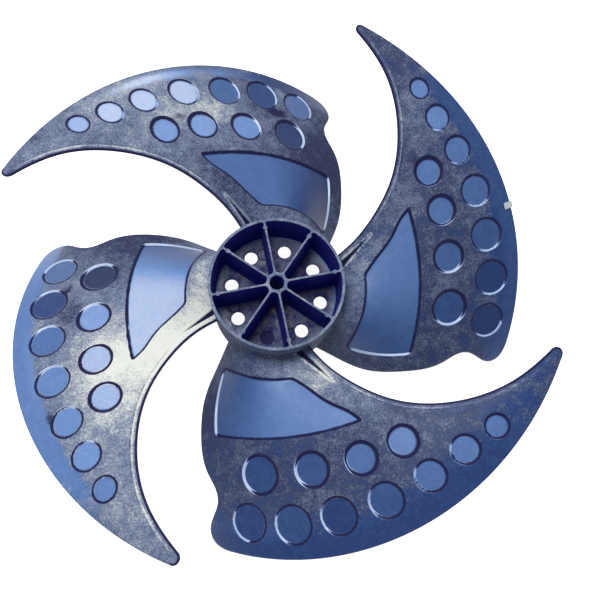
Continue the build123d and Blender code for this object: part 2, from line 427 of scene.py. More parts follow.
# %% Colours and sockets
def tone(red, green, blue):
    """A colour given on the usual 0 to 255 scale, as linear light, by the sRGB formula."""
    share = np.array([red, green, blue]) / 255
    linear = np.where(share <= 0.04045, share / 12.92, ((share + 0.055) / 1.055) ** 2.4)
    return (*linear.tolist(), 1.0)


def wire(tree, value, socket):
    """Join an output to a socket, or set the socket's own value."""
    if isinstance(value, bpy.types.NodeSocket):
        tree.links.new(value, socket)
    else:
        socket.default_value = value


def add_node(tree, kind, inputs=(), **settings):
    """A node with these settings and inputs, which are pairs of socket and value."""
    made = tree.nodes.new(kind)
    for name, value in settings.items():
        setattr(made, name, value)
    for socket, value in inputs:
        wire(tree, value, made.inputs[socket])
    return made


print("Middle grey as linear light:", round(tone(128, 128, 128)[0], 3))

# %% Sums, blends and noise
def calc(tree, operation, a, b=0.0, clamp=False):
    """One sum of two values."""
    return add_node(tree, "ShaderNodeMath", ((0, a), (1, b)), operation=operation, use_clamp=clamp).outputs[0]


def blend_colour(tree, share, a, b):
    """A colour between a and b: a times (1 - share) plus b times share."""
    return add_node(tree, "ShaderNodeMix", ((0, share), (6, a), (7, b)), data_type="RGBA").outputs[2]


def between(tree, value, low, high, to_low=0.0, to_high=1.0):
    """A smooth step from to_low to to_high while the value goes from low to high."""
    pairs = (("Value", value), ("From Min", low), ("From Max", high), ("To Min", to_low), ("To Max", to_high))
    return add_node(tree, "ShaderNodeMapRange", pairs, interpolation_type="SMOOTHSTEP").outputs[0]


def noise(tree, place, scale, detail=3.0, roughness=0.6):
    """Cloudy noise round 0.5, with scale patches to a metre."""
    pairs = (("Vector", place), ("Scale", scale), ("Detail", detail), ("Roughness", roughness))
    return add_node(tree, "ShaderNodeTexNoise", pairs).outputs["Fac"]


def around_zero(tree, value, strength):
    """Noise shifted to lie round zero, times a strength."""
    return calc(tree, "MULTIPLY", calc(tree, "SUBTRACT", value, 0.5), strength)


def mask(tree, name):
    """A mask that was worked out with the mesh and is kept on its points."""
    return add_node(tree, "ShaderNodeAttribute", attribute_name=name).outputs["Fac"]


# %% [markdown]
# ## Dust
# A fan that has run out of doors wears a film of fine dust. It lies in soft clouds, breaks up into specks,
# and is slate or blue where it is thin and cream where it is thick. It could be painted, but a node group
# with noise of three sizes covers all the pieces alike and fits into any material.

# %% The group and its sockets
NUMBER, COLOUR, VECTOR = "NodeSocketFloat", "NodeSocketColor", "NodeSocketVector"


def make_group(name, inputs, outputs):
    """An empty node group with these sockets, and its input and output nodes."""
    tree = bpy.data.node_groups.new(name, "ShaderNodeTree")
    for label, kind in inputs:
        tree.interface.new_socket(label, in_out="INPUT", socket_type=kind)
    for label, kind in outputs:
        tree.interface.new_socket(label, in_out="OUTPUT", socket_type=kind)
    return tree, tree.nodes.new("NodeGroupInput"), tree.nodes.new("NodeGroupOutput")


dust_group, dust_in, dust_out = make_group(
    "dust",
    (("Place", VECTOR), ("Clean", COLOUR), ("Amount", NUMBER), ("Pale", NUMBER)),
    (("Color", COLOUR), ("Cover", NUMBER), ("Specks", NUMBER)),
)
print("Sockets of the dust group:", [socket.name for socket in dust_group.interface.items_tree])

# %% Noise of three sizes
SPECK_SCALE, PATCH_SCALE, CLOUD_SCALE = 640, 110, 30
SPECK_SHARE, PATCH_SHARE, CLOUD_SHARE = 1.6, 1.3, 0.7

dust_place = dust_in.outputs["Place"]
specks = noise(dust_group, dust_place, SPECK_SCALE, 3, 0.8)
patches = around_zero(dust_group, noise(dust_group, dust_place, PATCH_SCALE, 5, 0.65), PATCH_SHARE)
clouds = around_zero(dust_group, noise(dust_group, dust_place, CLOUD_SCALE, 3, 0.5), CLOUD_SHARE)
fine = around_zero(dust_group, specks, SPECK_SHARE)
coarse = calc(dust_group, "ADD", patches, clouds)
print(f"Specks of {1000 / SPECK_SCALE:.1f} mm, patches of {1000 / PATCH_SCALE:.0f} mm, "
      f"clouds of {1000 / CLOUD_SCALE:.0f} mm")

# %% How much dust, and how pale
SLATE_DUST, BLUE_DUST, CREAM_DUST = tone(34, 43, 84), tone(112, 126, 156), tone(228, 231, 224)
FINE_IN_TONE, COARSE_IN_TONE = 0.75, 0.55

amount = calc(dust_group, "ADD", dust_in.outputs["Amount"], calc(dust_group, "ADD", fine, coarse))
cover = between(dust_group, amount, 0.2, 0.6)
pale = calc(dust_group, "ADD", dust_in.outputs["Pale"], calc(dust_group, "MULTIPLY", fine, FINE_IN_TONE))
pale = calc(dust_group, "ADD", pale, calc(dust_group, "MULTIPLY", coarse, COARSE_IN_TONE), clamp=True)
film = blend_colour(dust_group, between(dust_group, pale, 0.0, 0.5), SLATE_DUST, BLUE_DUST)
film = blend_colour(dust_group, between(dust_group, pale, 0.4, 1.0), film, CREAM_DUST)
wire(dust_group, blend_colour(dust_group, cover, dust_in.outputs["Clean"], film), dust_out.inputs["Color"])
wire(dust_group, cover, dust_out.inputs["Cover"])
wire(dust_group, specks, dust_out.inputs["Specks"])
print("Nodes in the dust group:", len(dust_group.nodes))

# %% [markdown]
# ## Moulded navy plastic
# Clean plastic is navy. The colour scale runs from deep navy, which is painted shade in the hollows, through
# steel blue on open faces to lavender white, which is a painted sheen. Each could be a material of its own.
# Here one colour scale holds them all, and a mask of tone and painted sheen picks a place on it. A mask of
# smudges and painted shade turns the colour back to bare navy where dust was wiped off and paints shade on
# walls, edges and grooves. `cell` makes that navy richer as painted shade down the hub's cells, and `dust`
# and `pale` lay dust over the rest.

# %% Colours of the plastic
# DEEP_NAVY is the bare plastic where dust was wiped off, and also painted shade on walls, edges and grooves.
# CELL_NAVY is a richer navy, painted down the hub's cells as shade.
DEEP_NAVY, CELL_NAVY = tone(5, 9, 70), tone(3, 13, 142)
# The low end of this scale is painted shade and the high end a painted sheen. The blues between are the
# plastic's tone.
PLASTIC_SHADE_TO_SHEEN_SCALE = (
    (0.0, tone(6, 12, 64)), (0.25, tone(28, 60, 118)), (0.5, tone(80, 114, 172)), (0.7, tone(112, 148, 208)),
    (1.0, tone(192, 208, 238)),
)


def colour_scale(tree, value, stops):
    """A colour read off a scale of stops, which are pairs of place and colour."""
    made = add_node(tree, "ShaderNodeValToRGB", ((0, value),))
    scale = made.color_ramp
    while len(scale.elements) < len(stops):
        scale.elements.new(0.5)
    for element, (where, colour) in zip(scale.elements, stops):
        element.position = where
        element.color = colour
    return made.outputs["Color"]


print("Stops of the colour scale:", [where for where, _ in PLASTIC_SHADE_TO_SHEEN_SCALE])

# %% The material
CLEAN_ROUGHNESS, DUST_ROUGHNESS = 0.36, 0.8
GRAIN_SCALE, GRAIN_HEIGHT, GRAIN_STRENGTH, GRAIN_IN_SHEEN = 900, 0.0001, 0.6, 0.28
MOTTLE_SCALE, MOTTLE_IN_SHEEN = 120, 0.12


def new_material(name):
    """A material with its shader and a source of object coordinates."""
    made = bpy.data.materials.new(name)
    made.use_nodes = True
    tree = made.node_tree
    return made, tree, tree.nodes["Principled BSDF"], tree.nodes.new("ShaderNodeTexCoord").outputs["Object"]


def navy_plastic(name):
    """Navy plastic under dust, with painted sheen and shade, driven by the masks of the mesh, with the
    moulded grain as a fine bump.
    """
    made, tree, shader, place = new_material(name)
    grain = noise(tree, place, GRAIN_SCALE, 2, 0.7)
    mottle = noise(tree, place, MOTTLE_SCALE, 4, 0.6)
    # This mask sets the plastic's tone and paints sheen: high values are a painted reflection.
    tone_and_painted_sheen = calc(tree, "ADD", mask(tree, "tone_and_painted_sheen"), around_zero(tree, grain, GRAIN_IN_SHEEN))
    tone_and_painted_sheen = calc(tree, "ADD", tone_and_painted_sheen, around_zero(tree, mottle, MOTTLE_IN_SHEEN))
    dust = add_node(tree, "ShaderNodeGroup", node_tree=dust_group)
    for label, value in (
        ("Place", place), ("Clean", colour_scale(tree, tone_and_painted_sheen, PLASTIC_SHADE_TO_SHEEN_SCALE)),
        ("Amount", mask(tree, "dust")), ("Pale", mask(tree, "pale")),
    ):
        wire(tree, value, dust.inputs[label])
    # Bare navy where dust was wiped off, and painted shade on hollow walls, edges, grooves and down the hub's
    # cells.
    smudge_and_painted_shade = between(tree, calc(tree, "ADD", mask(tree, "smudge_and_painted_shade"), around_zero(tree, mottle, 1.0)), 0.3, 0.8)
    # Down the hub's cells the navy is richer: painted shade.
    navy = blend_colour(tree, mask(tree, "cell"), DEEP_NAVY, CELL_NAVY)
    wire(tree, blend_colour(tree, smudge_and_painted_shade, dust.outputs["Color"], navy), shader.inputs["Base Color"])
    cover = calc(tree, "MULTIPLY", dust.outputs["Cover"], calc(tree, "SUBTRACT", 1.0, smudge_and_painted_shade))
    dull = calc(tree, "MAXIMUM", cover, smudge_and_painted_shade)
    wire(tree, between(tree, dull, 0, 1, CLEAN_ROUGHNESS, DUST_ROUGHNESS), shader.inputs["Roughness"])
    height = calc(tree, "ADD", grain, calc(tree, "MULTIPLY", dust.outputs["Specks"], cover))
    bump = add_node(
        tree, "ShaderNodeBump", (("Height", height), ("Strength", GRAIN_STRENGTH), ("Distance", GRAIN_HEIGHT))
    )
    wire(tree, bump.outputs["Normal"], shader.inputs["Normal"])
    return made


plastic = navy_plastic("navy_plastic")
print("Nodes in the plastic:", len(plastic.node_tree.nodes))

# %% [markdown]
# ## The mesh of a blade
# The moulding is solid, so a blade needs a back and a rim too. A Solidify modifier could add them, but it
# would repeat every hollow on the back, which is plain, and keep one thickness. So the back is a coarser
# grid of its own, and the rim is a strip that joins the two outlines.

# %% From points to an object
MM = 0.001
SHARP_ANGLE = 50.0


def build(name, points, faces, material, attributes=None):
    """A smooth-shaded mesh object from points in millimetres, with masks on its points."""
    mesh = bpy.data.meshes.new(name)
    mesh.from_pydata((np.asarray(points) * MM).tolist(), [], faces)
    mesh.update()
    for label, values in (attributes or {}).items():
        layer = mesh.attributes.new(label, "FLOAT", "POINT")
        layer.data.foreach_set("value", np.asarray(values, np.float32).ravel())
    mesh.materials.append(material)
    mesh.shade_smooth()
    mesh.set_sharp_from_angle(angle=radians(SHARP_ANGLE))
    obj = bpy.data.objects.new(name, mesh)
    bpy.context.collection.objects.link(obj)
    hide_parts("impeller")
    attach(obj, "root")
    print(f"{name}: {len(points)} points, {len(faces)} faces")
    return obj


def grid_faces(rows, columns, start=0, flip=False, wrap=False):
    """Quads of a grid of points, as lists of point numbers."""
    index = np.arange(rows * columns).reshape(rows, columns) + start
    if wrap:
        index = np.hstack([index, index[:, :1]])
    quads = np.stack([index[:-1, :-1], index[:-1, 1:], index[1:, 1:], index[1:, :-1]], axis=-1).reshape(-1, 4)
    return (quads[:, ::-1] if flip else quads).tolist()


# %% Face, back and rim
BACK_STEP, BACK_EDGE = 4, 8


def rim_of(grid):
    """The rim of a grid: along the trailing edge, the outer edge and back along the leading edge."""
    return np.vstack([grid[:, 0], grid[-1, 1:], grid[-2::-1, -1]])


rows, columns = radius.shape
back_rows = np.unique(np.r_[np.arange(0, rows, BACK_STEP), np.arange(rows - BACK_EDGE, rows)])
back_columns = np.unique(np.r_[
    np.arange(0, BACK_EDGE),
    np.arange(BACK_EDGE, columns - BACK_EDGE, BACK_STEP),
    np.arange(columns - BACK_EDGE, columns),
])
face_grid, back_grid = np.dstack([plan, face]), np.dstack([plan, back])
face_points = face_grid.reshape(-1, 3)
back_points = back_grid[np.ix_(back_rows, back_columns)].reshape(-1, 3)
rim_top, rim_bottom = rim_of(face_grid), rim_of(back_grid)

blade_points = np.vstack([face_points, back_points, rim_top, rim_bottom])
back_start = len(face_points)
rim_start = back_start + len(back_points)
blade_faces = grid_faces(rows, columns, flip=True)
blade_faces += grid_faces(len(back_rows), len(back_columns), back_start)
blade_faces += grid_faces(2, len(rim_top), rim_start, flip=True)
print("Points on the face, back and rim:", len(face_points), len(back_points), 2 * len(rim_top))

# %% [markdown]
# ## Where a blade is dusty, and where light and shade are painted
# Dust lies on the open face. The walls of a hollow lose it and get a painted highlight where they lean up and
# painted shade where they lean away, and the leading edge, crease and groove get painted shade. A shader's
# Bevel node could find edges, but it is slow and knows nothing of a hollow's depth. So these masks come from
# the distances that shaped the blade, and are kept on the points of the mesh.

# %% Floors, outer band and walls
POCKET_FLOOR_START = 0.7
BAND_START, BAND_FADE = 206, 16
WALL_BLEND, LIT_LEAN = 0.55, 0.06


def uprightness(heights):
    """How far the surface faces up: the Z part of its unit normal, the cross product of its slopes."""
    surface = np.dstack([plan, heights])
    across = np.cross(np.gradient(surface, axis=1), np.gradient(surface, axis=0))
    return np.abs(across[..., 2]) / (np.linalg.norm(across, axis=-1) + 1e-9)


floor_mask = np.clip(sum(floor_masks["outer"]) + sum(floor_masks["inner"]), 0, 1)
pocket_floor = ease(pocket_inside - POCKET_WALL * POCKET_FLOOR_START)
band = ease((radius - BAND_START) / BAND_FADE)
walls = np.clip(wall_mask + 4 * pocket_sunk * (1 - pocket_sunk) * (pocket_inside > 0), 0, 1)
walls = ease(walls / WALL_BLEND)
# Painted light: a hollow's wall that leans up more than the face gets a painted highlight, the rest of the
# wall painted shade.
lit = ease((uprightness(face) - uprightness(smooth_face)) / LIT_LEAN)
painted_highlight_wall, painted_shade_wall = walls * lit, walls * (1 - lit)
print(f"Share of the face in dimple floors: {floor_mask.mean():.2f}, in lit walls: {painted_highlight_wall.mean():.3f}")

# %% Lines along the edges
LIGHT_INSET, LIGHT_WIDTH = 1.3, 0.8
RIM_SHADE, RIM_FADE = 2.0, 0.8
RIDGE_OUT, RIDGE_WIDTH, RIDGE_FROM = 0.8, 1.1, 66


def bell(value, middle, width):
    """A soft line: 1 at the middle, falling off as exp(-t squared), with t in widths from the middle."""
    return np.exp(-(((value - middle) / width) ** 2))


# Painted light along the edges: crease_light and groove_ridge are pale painted highlights, and crease_mask
# and dark_rim are painted shade.
crease_mask = bell(lead_gap, CREASE_INSET, CREASE_WIDTH / 2) * crease_reach
crease_light = bell(lead_gap, CREASE_INSET - LIGHT_INSET, LIGHT_WIDTH) * crease_reach
dark_rim = ease((RIM_SHADE - lead_gap) / RIM_FADE)
groove_ridge = bell(groove_inside, -RIDGE_OUT, RIDGE_WIDTH) * (radius > RIDGE_FROM)
print(f"Share of the face in the dark rim: {dark_rim.mean():.3f}")

# %% [markdown]
# ## How each blade has weathered, with its painted light
# The four blades came out of one mould, but dust, rain and a wiping hand have treated each differently. That
# could be painted by hand. Here it is a short list to a blade: a level for each mask, and soft spots with
# their radius, angle, reach along and across the radius, and strength. The lists paint light too: blades 1
# and 2 are made paler in part to stand for the brighter light on them, and the sheen spots, the band levels
# and the floor tones are partly painted sheen and shade. The tones of the dimple floors run from the trailing
# to the leading side.

# %% Soft spots
def spots(*patches):
    """The sum of soft round patches: the strength falls off as exp(-distance squared)."""
    total = np.zeros_like(radius)
    for spot_radius, spot_angle, reach, width, strength in patches:
        across = np.radians(angle - spot_angle) * radius
        total += strength * np.exp(-(((radius - spot_radius) / reach) ** 2) - (across / width) ** 2)
    return total


print("Strength in the middle of a spot:", spots((140, 100, 20, 20, 1.0)).max().round(2))

# %% The look of each blade
# Partly painted light: blades 1 and 2 are made paler for their brighter light, and the sheen spots, band
# levels and floor tones are partly painted sheen and shade.
BLADE_LOOKS = (
    {
        "dust": 0.95 + spots((224, 88, 12, 55, -1.1), (221, 120, 7, 60, -0.8)),
        "pale": 0.3 + spots((214, 130, 16, 60, 0.3), (178, 115, 16, 50, 0.4), (150, 70, 60, 45, -0.35),
                            (100, 115, 25, 30, -0.15), (182, 98, 14, 14, -0.2)),
        "tone_and_painted_sheen": 0.2 + spots((221, 126, 10, 60, 0.85), (221, 105, 8, 30, 0.25)),
        "smudge_and_painted_shade": spots((184, 91, 9, 13, 0.9), (140, 84, 8, 22, 0.4), (174, 121, 8, 10, 0.6),
                        (92, 72, 16, 15, 0.45), (216, 100, 4, 20, 0.5)),
        "outer": (0.43, 0.27, 0.42, 0.93, 0.95, 0.94, 0.83), "inner": (0.18, 0.68, 0.74, 0.72),
        "pocket": 0.46, "pocket_shade": 0.75, "band": 0.0,
    },
    {
        "dust": 0.98 + spots((222, 110, 9, 120, -0.5), (205, 88, 14, 30, -0.4)),
        "pale": 0.4 + spots((110, 120, 50, 35, 0.7), (168, 125, 25, 50, 0.3), (70, 85, 12, 70, 0.3),
                            (150, 68, 70, 40, -0.35), (182, 98, 14, 16, -0.25), (205, 150, 20, 30, 0.15)),
        "tone_and_painted_sheen": 0.45 + spots((224, 112, 10, 60, 0.45)),
        "smudge_and_painted_shade": spots((188, 91, 9, 14, 0.75), (214, 93, 6, 12, 0.5), (212, 124, 5, 9, 0.7),
                        (148, 82, 10, 20, 0.45)),
        "outer": (0.42, 0.26, 0.48, 0.6, 0.63, 0.67, 0.58), "inner": (0.08, 0.74, 0.88, 0.84),
        "pocket": 0.92, "pocket_shade": 0.7, "band": 0.56,
    },
    {
        "dust": 0.56 + spots((215, 120, 18, 200, -0.4), (95, 113, 32, 32, 0.35)),
        "pale": 0.12 + spots((95, 113, 28, 28, 0.4), (130, 126, 25, 15, 0.15), (172, 136, 20, 26, 0.1),
                             (75, 88, 12, 60, 0.15), (110, 62, 40, 20, -0.12)),
        "tone_and_painted_sheen": 0.27 + spots((215, 86, 20, 25, 0.1), (110, 62, 50, 25, -0.15)),
        "smudge_and_painted_shade": spots((150, 68, 14, 18, 0.35), (196, 79, 14, 12, 0.25)),
        "outer": (0.28, 0.31, 0.25, 0.33, 0.48, 0.54, 0.53), "inner": (0.3, 0.34, 0.48, 0.58),
        "pocket": 0.58, "pocket_shade": 0.5, "band": 0.25,
    },
    {
        "dust": 0.6 + spots((212, 100, 20, 80, -0.4)),
        "pale": 0.13 + spots((190, 140, 25, 28, 0.14), (125, 124, 25, 20, 0.1), (88, 108, 24, 24, 0.25),
                             (75, 85, 12, 60, 0.15)),
        "tone_and_painted_sheen": 0.25 + spots((110, 66, 50, 25, -0.1)),
        "smudge_and_painted_shade": spots((162, 133, 12, 12, 0.6), (198, 124, 8, 12, 0.4), (180, 88, 10, 25, 0.25)),
        "outer": (0.19, 0.22, 0.34, 0.43, 0.5, 0.6, 0.6), "inner": (0.31, 0.4, 0.49, 0.52),
        "pocket": 0.52, "pocket_shade": 0.35, "band": 0.3,
    },
)
print("Blades with a look of their own:", len(BLADE_LOOKS))

# %% The masks of one blade
BAND_END, BAND_END_FADE = 152, 20
SHADE_START, SHADE_FADE = 94, 34
BACK_MASKS = {"dust": 0.6, "pale": 0.12, "tone_and_painted_sheen": 0.15, "smudge_and_painted_shade": 0.1}
# The blade's rim is nearly bare navy: painted shade on its edge.
RIM_MASKS = {"dust": 0.3, "pale": 0.05, "tone_and_painted_sheen": 0.1, "smudge_and_painted_shade": 0.9}


def face_masks(look):
    """The masks of one blade's face: its own patches, plus what the hollows and edges add or take away,
    painted highlights and painted shade among them.
    """
    open_face = (1 - floor_mask) * (1 - pocket_floor)
    # Painted sheen along the outer edge: the tone moves to the blade's band level and the dust thins there.
    painted_sheen_band = band * ease((BAND_END - angle) / BAND_END_FADE) * (look["band"] > 0)
    tone_and_painted_sheen = (look["tone_and_painted_sheen"] * (1 - painted_sheen_band) + look["band"] * painted_sheen_band) * open_face
    for row in ("outer", "inner"):
        tone_and_painted_sheen = tone_and_painted_sheen + sum(tone_of * floor for tone_of, floor in zip(look[row], floor_masks[row]))
    # Painted shade: the pocket floor gets darker towards its trailing end.
    pocket_shade = 1 - look["pocket_shade"] * ease((SHADE_START - angle) / SHADE_FADE)
    # Painted highlight: the walls that lean up turn pale and lose their dust.
    tone_and_painted_sheen = tone_and_painted_sheen + look["pocket"] * pocket_shade * pocket_floor + 0.95 * painted_highlight_wall * (1 - floor_mask)
    dust = (look["dust"] - 0.9 * painted_sheen_band - 1.1 * painted_highlight_wall) * open_face - 0.5 * (1 - open_face)
    # Painted highlights: pale lines beside the crease and on the groove's ridge.
    pale = look["pale"] + 0.35 * groove_ridge + 0.33 * crease_light
    # Painted shade: walls that lean away, the crease, the groove and the leading edge turn deep navy. The
    # look's own spots are wiped places.
    smudge_and_painted_shade = look["smudge_and_painted_shade"] + 1.1 * painted_shade_wall + 0.6 * crease_mask + 1.2 * groove_sunk + 1.2 * dark_rim
    smudge_and_painted_shade = smudge_and_painted_shade * (1 - floor_mask) * (1 - 0.5 * pocket_floor) * (1 - groove_ridge * 0.7)
    return {"dust": dust, "pale": pale, "tone_and_painted_sheen": tone_and_painted_sheen, "smudge_and_painted_shade": smudge_and_painted_shade}


def blade_marks(look):
    """The masks of a whole blade, with plain values on its back and rim."""
    return {
        name: np.r_[
            values.ravel(),
            np.full(len(back_points), BACK_MASKS[name]),
            np.full(2 * len(rim_top), RIM_MASKS[name]),
        ]
        for name, values in face_masks(look).items()
    }


print("Masks of a blade:", ", ".join(face_masks(BLADE_LOOKS[0])))

# %% Build the four blades
BLADES = 4


def turned(points, degrees):
    """Points turned about the shaft axis: x cos - y sin, x sin + y cos, and the same height."""
    c, s = np.cos(np.radians(degrees)), np.sin(np.radians(degrees))
    x, y, z = np.moveaxis(np.asarray(points, float), -1, 0)
    return np.stack([x * c - y * s, x * s + y * c, z], axis=-1)


for k in range(BLADES):
    points = turned(blade_points, 360 / BLADES * k)
    build(f"blade_{k + 1}", points, blade_faces, plastic, blade_marks(BLADE_LOOKS[k]))


# %% [markdown]
# ## The cells of the hub
# The hub is a cup with eight radial ribs, and a web divides it into an upper and a lower row of cells. The
# walls lean by two degrees to let go of the mould, and each cell has a round hole in its web. A Boolean
# could cut them. Here a cell is a stack of loops on the same rays from its hole: over the rounded edge, down
# the wall, across the web, through the hole and out below, as one sheet with no cuts.

# %% Sizes of the hub
HUB_HEIGHT, HUB_BASE, CELL_DEPTH, WEB = 70.0, 2.0, 39.0, 3.0
CELL_DRAFT, CELL_CORNER, CELL_FOOT, EDGE_ROUND = 2.0, 2.0, 1.2, 0.5
RIBS, RIB_THICKNESS, RIB_ANGLE = 8, 1.8, 12.0
HOLE_RADIUS, HOLE_CIRCLE = 6.25, 42.0
BOSS_RADIUS, MOUTH_RADIUS, MOUTH_ROUND = 9.2, 6.5, 0.4
WEB_TOP = HUB_HEIGHT - CELL_DEPTH
RAYS, FAR, HALVINGS = 144, 80.0, 40

cell_rays = polar(1.0, (np.arange(RAYS) + 0.5) * 360 / RAYS)
cell_centre = np.array([HOLE_CIRCLE, 0.0])


def at_height(flat, height):
    """Plan points lifted to this height."""
    return np.column_stack([flat, np.full(len(flat), height)])


print("Top of the web:", WEB_TOP, "mm")

# %% Loops on the rays
def where_rays_leave(is_outside):
    """The plan points where the rays leave a shape, found by halving a range of distances again and again."""
    low, high = np.zeros(RAYS), np.full(RAYS, FAR)
    for _ in range(HALVINGS):
        middle = (low + high) / 2
        outside = is_outside(cell_centre + middle[:, None] * cell_rays)
        low, high = np.where(outside, low, middle), np.where(outside, middle, high)
    return cell_centre + low[:, None] * cell_rays


def beside_rib(spot):
    """Distance past the middle of the rib that bounds the sector round +X on either side."""
    return np.abs(spot[:, 1]) * np.cos(pi / RIBS) - spot[:, 0] * np.sin(pi / RIBS)


def cell_gap(spot, inset):
    """Signed distance to the wall of a cell, negative inside.

    It is the largest of the distances to the three walls. In a corner it is the length of what they have past
    the corner's radius, which rounds it.
    """
    from_axis = np.hypot(spot[:, 0], spot[:, 1])
    wall_gaps = np.stack([
        from_axis - (HUB_RADIUS - HUB_WALL) + inset,
        BOSS_RADIUS + inset - from_axis,
        beside_rib(spot) + RIB_THICKNESS / 2 + inset,
    ])
    corner = np.sqrt((np.maximum(wall_gaps + CELL_CORNER, 0) ** 2).sum(axis=0))
    return np.minimum(wall_gaps.max(axis=0), -CELL_CORNER) + corner


def cell_loop(inset, height):
    """The wall of the cell at this inset, as one point to each ray."""
    return at_height(where_rays_leave(lambda spot: cell_gap(spot, inset) > 0), height)


def sector_loop(height, outer, inner):
    """The edge of one cell's sector of the hub, from ring to ring and from rib to rib."""
    def is_outside(spot):
        from_axis = np.hypot(*spot.T)
        return (from_axis > outer) | (from_axis < inner) | (beside_rib(spot) > 0)

    return at_height(where_rays_leave(is_outside), height)


def hole_loop(size, height):
    """A loop of the hole in the web."""
    return at_height(cell_centre + size * cell_rays, height)


print("A cell is", np.ptp(cell_loop(0, 0)[:, :2], axis=0).round(1), "mm")

# %% The stack of one cell
HOLE_ROUND, HOLE_MARGIN = 0.25, 1.5


def cell_stack(top, direction, depth, mouth):
    """Loops from the end face over its rounded edge, down the drafted wall and over the floor to the hole."""
    lean = tan(radians(CELL_DRAFT))
    loops = [sector_loop(top, HUB_RADIUS - EDGE_ROUND, mouth)]
    for turn in np.radians(np.linspace(0, 90, 5)):
        inset, drop = -EDGE_ROUND * (1 - np.sin(turn)), EDGE_ROUND * (1 - np.cos(turn))
        loops.append(cell_loop(inset, top - direction * drop))
    for share in np.linspace(0.08, 1, 6):
        fall = EDGE_ROUND + (depth - EDGE_ROUND - CELL_FOOT) * share
        loops.append(cell_loop(fall * lean, top - direction * fall))
    for turn in np.radians(np.linspace(20, 90, 5)):
        drop = depth - CELL_FOOT * (1 - np.sin(turn))
        loops.append(cell_loop(depth * lean + CELL_FOOT * (1 - np.cos(turn)), top - direction * drop))
    floor = top - direction * depth
    loops.append(hole_loop(HOLE_RADIUS + HOLE_MARGIN, floor))
    loops.append(hole_loop(HOLE_RADIUS + HOLE_ROUND, floor))
    loops.append(hole_loop(HOLE_RADIUS, floor - direction * HOLE_ROUND))
    return loops


upper = cell_stack(HUB_HEIGHT, 1, CELL_DEPTH, MOUTH_RADIUS + MOUTH_ROUND)
lower = cell_stack(HUB_BASE, -1, WEB_TOP - WEB - HUB_BASE, BOSS_RADIUS)
cell = np.array(upper + lower[::-1])
print("Loops, rays and coordinates of a cell:", cell.shape)

# %% Masks of the hub
FOOT_HEIGHT, FOOT_WIDTH, FOOT_REACH = 0.45, 0.4, 8


def hub_masks(points):
    """Masks of the hub: pale dust on the end faces, deep navy down the inner walls as painted shade, a thin
    painted highlight along their foot, and patchy dust with patches of painted shade on the web. Each zone is
    a smooth step or bell over height and radius."""
    height, from_axis = points[:, 2], np.hypot(points[:, 0], points[:, 1])
    end_face = ease((height - HUB_HEIGHT + 0.8) / 0.6) + ease((HUB_BASE + 0.5 - height) / 0.4)
    web = np.exp(-(((height - WEB_TOP + WEB / 2) / (WEB / 2 + 0.8)) ** 8))
    wall = np.clip(1 - end_face - web, 0, 1)
    outside = ease((from_axis - HUB_RADIUS + 1) / 0.8) * wall
    # Painted highlight: a thin pale line along the foot of the walls.
    foot = bell(height, WEB_TOP + FOOT_HEIGHT, FOOT_WIDTH) * (from_axis > HUB_RADIUS - FOOT_REACH)
    inside = np.clip(wall - outside - foot, 0, 1)
    return {
        "dust": 0.85 * end_face + 0.5 * web + 0.7 * outside - 0.6 * inside - foot,
        "pale": 0.42 * end_face + 0.12 * web + 0.1 * outside,
        "tone_and_painted_sheen": 0.62 * end_face + 0.08 * web + 0.15 * outside + 0.6 * foot,
        # Painted shade: deep navy down the inner walls and in patches on the web.
        "smudge_and_painted_shade": 1.3 * (inside - foot) + 0.5 * web,
        "cell": inside + 0.2 * web,
    }


# %% Build the eight cells
hub_points = np.vstack([
    turned(cell, RIB_ANGLE + 360 / RIBS * (k + 0.5)).reshape(-1, 3) for k in range(RIBS)
])
hub_faces = []
for k in range(RIBS):
    hub_faces += grid_faces(len(cell), RAYS, k * len(cell) * RAYS, wrap=True)
build("hub_cells", hub_points, hub_faces, plastic, hub_masks(hub_points))

# %% [markdown]
# ## The outer wall and the bores
# The hub's wall and the hole for the motor shaft are turned shapes. A Screw modifier could spin them. Here a
# profile is a list of radius and height, and each pair makes one loop of points, which needs no clean-up.
# The lower end of the bore is D-shaped, a circle with one side cut flat, so that the fan can't turn on its
# shaft.

# %% Spin a profile
TURN_STEPS = 192


def spun(name, profile, steps=TURN_STEPS, centres=((0.0, 0.0),), flip=False, capped=False, masks=hub_masks):
    """Surfaces of revolution about upright axes at these centres, from radius and height pairs."""
    turn = np.arange(steps) * 360 / steps
    points, faces = [], []
    for number, centre in enumerate(centres):
        start = number * steps * len(profile)
        points += [at_height(polar(r, turn) + centre, z) for r, z in profile]
        faces += grid_faces(len(profile), steps, start, wrap=True, flip=flip)
        if capped:
            faces.append(list(range(start, start + steps)))
    points = np.vstack(points)
    return build(name, points, faces, plastic, masks(points))


def rounded_end(size, height, direction, edge):
    """Profile points along the quarter circle that rounds a cylinder's end, from its face to its side."""
    return [
        (size - edge * (1 - np.sin(t)), height - direction * edge * (1 - np.cos(t)))
        for t in np.linspace(0, pi / 2, 6)
    ]


# %% Wall and shaft bore
MOUTH_DEPTH, SHAFT_RADIUS, DRIVE_LENGTH = 10.0, 6.0, 22.0

top_edge = rounded_end(HUB_RADIUS, HUB_HEIGHT, 1, EDGE_ROUND)
bottom_edge = rounded_end(HUB_RADIUS, HUB_BASE, -1, EDGE_ROUND)[::-1]
spun("hub_wall", top_edge + bottom_edge, flip=True)
spun(
    "shaft_bore",
    [
        (MOUTH_RADIUS + MOUTH_ROUND, HUB_HEIGHT),
        (MOUTH_RADIUS, HUB_HEIGHT - MOUTH_ROUND),
        (MOUTH_RADIUS, HUB_HEIGHT - MOUTH_DEPTH),
        (SHAFT_RADIUS, HUB_HEIGHT - MOUTH_DEPTH),
        (SHAFT_RADIUS, DRIVE_LENGTH),
    ],
)

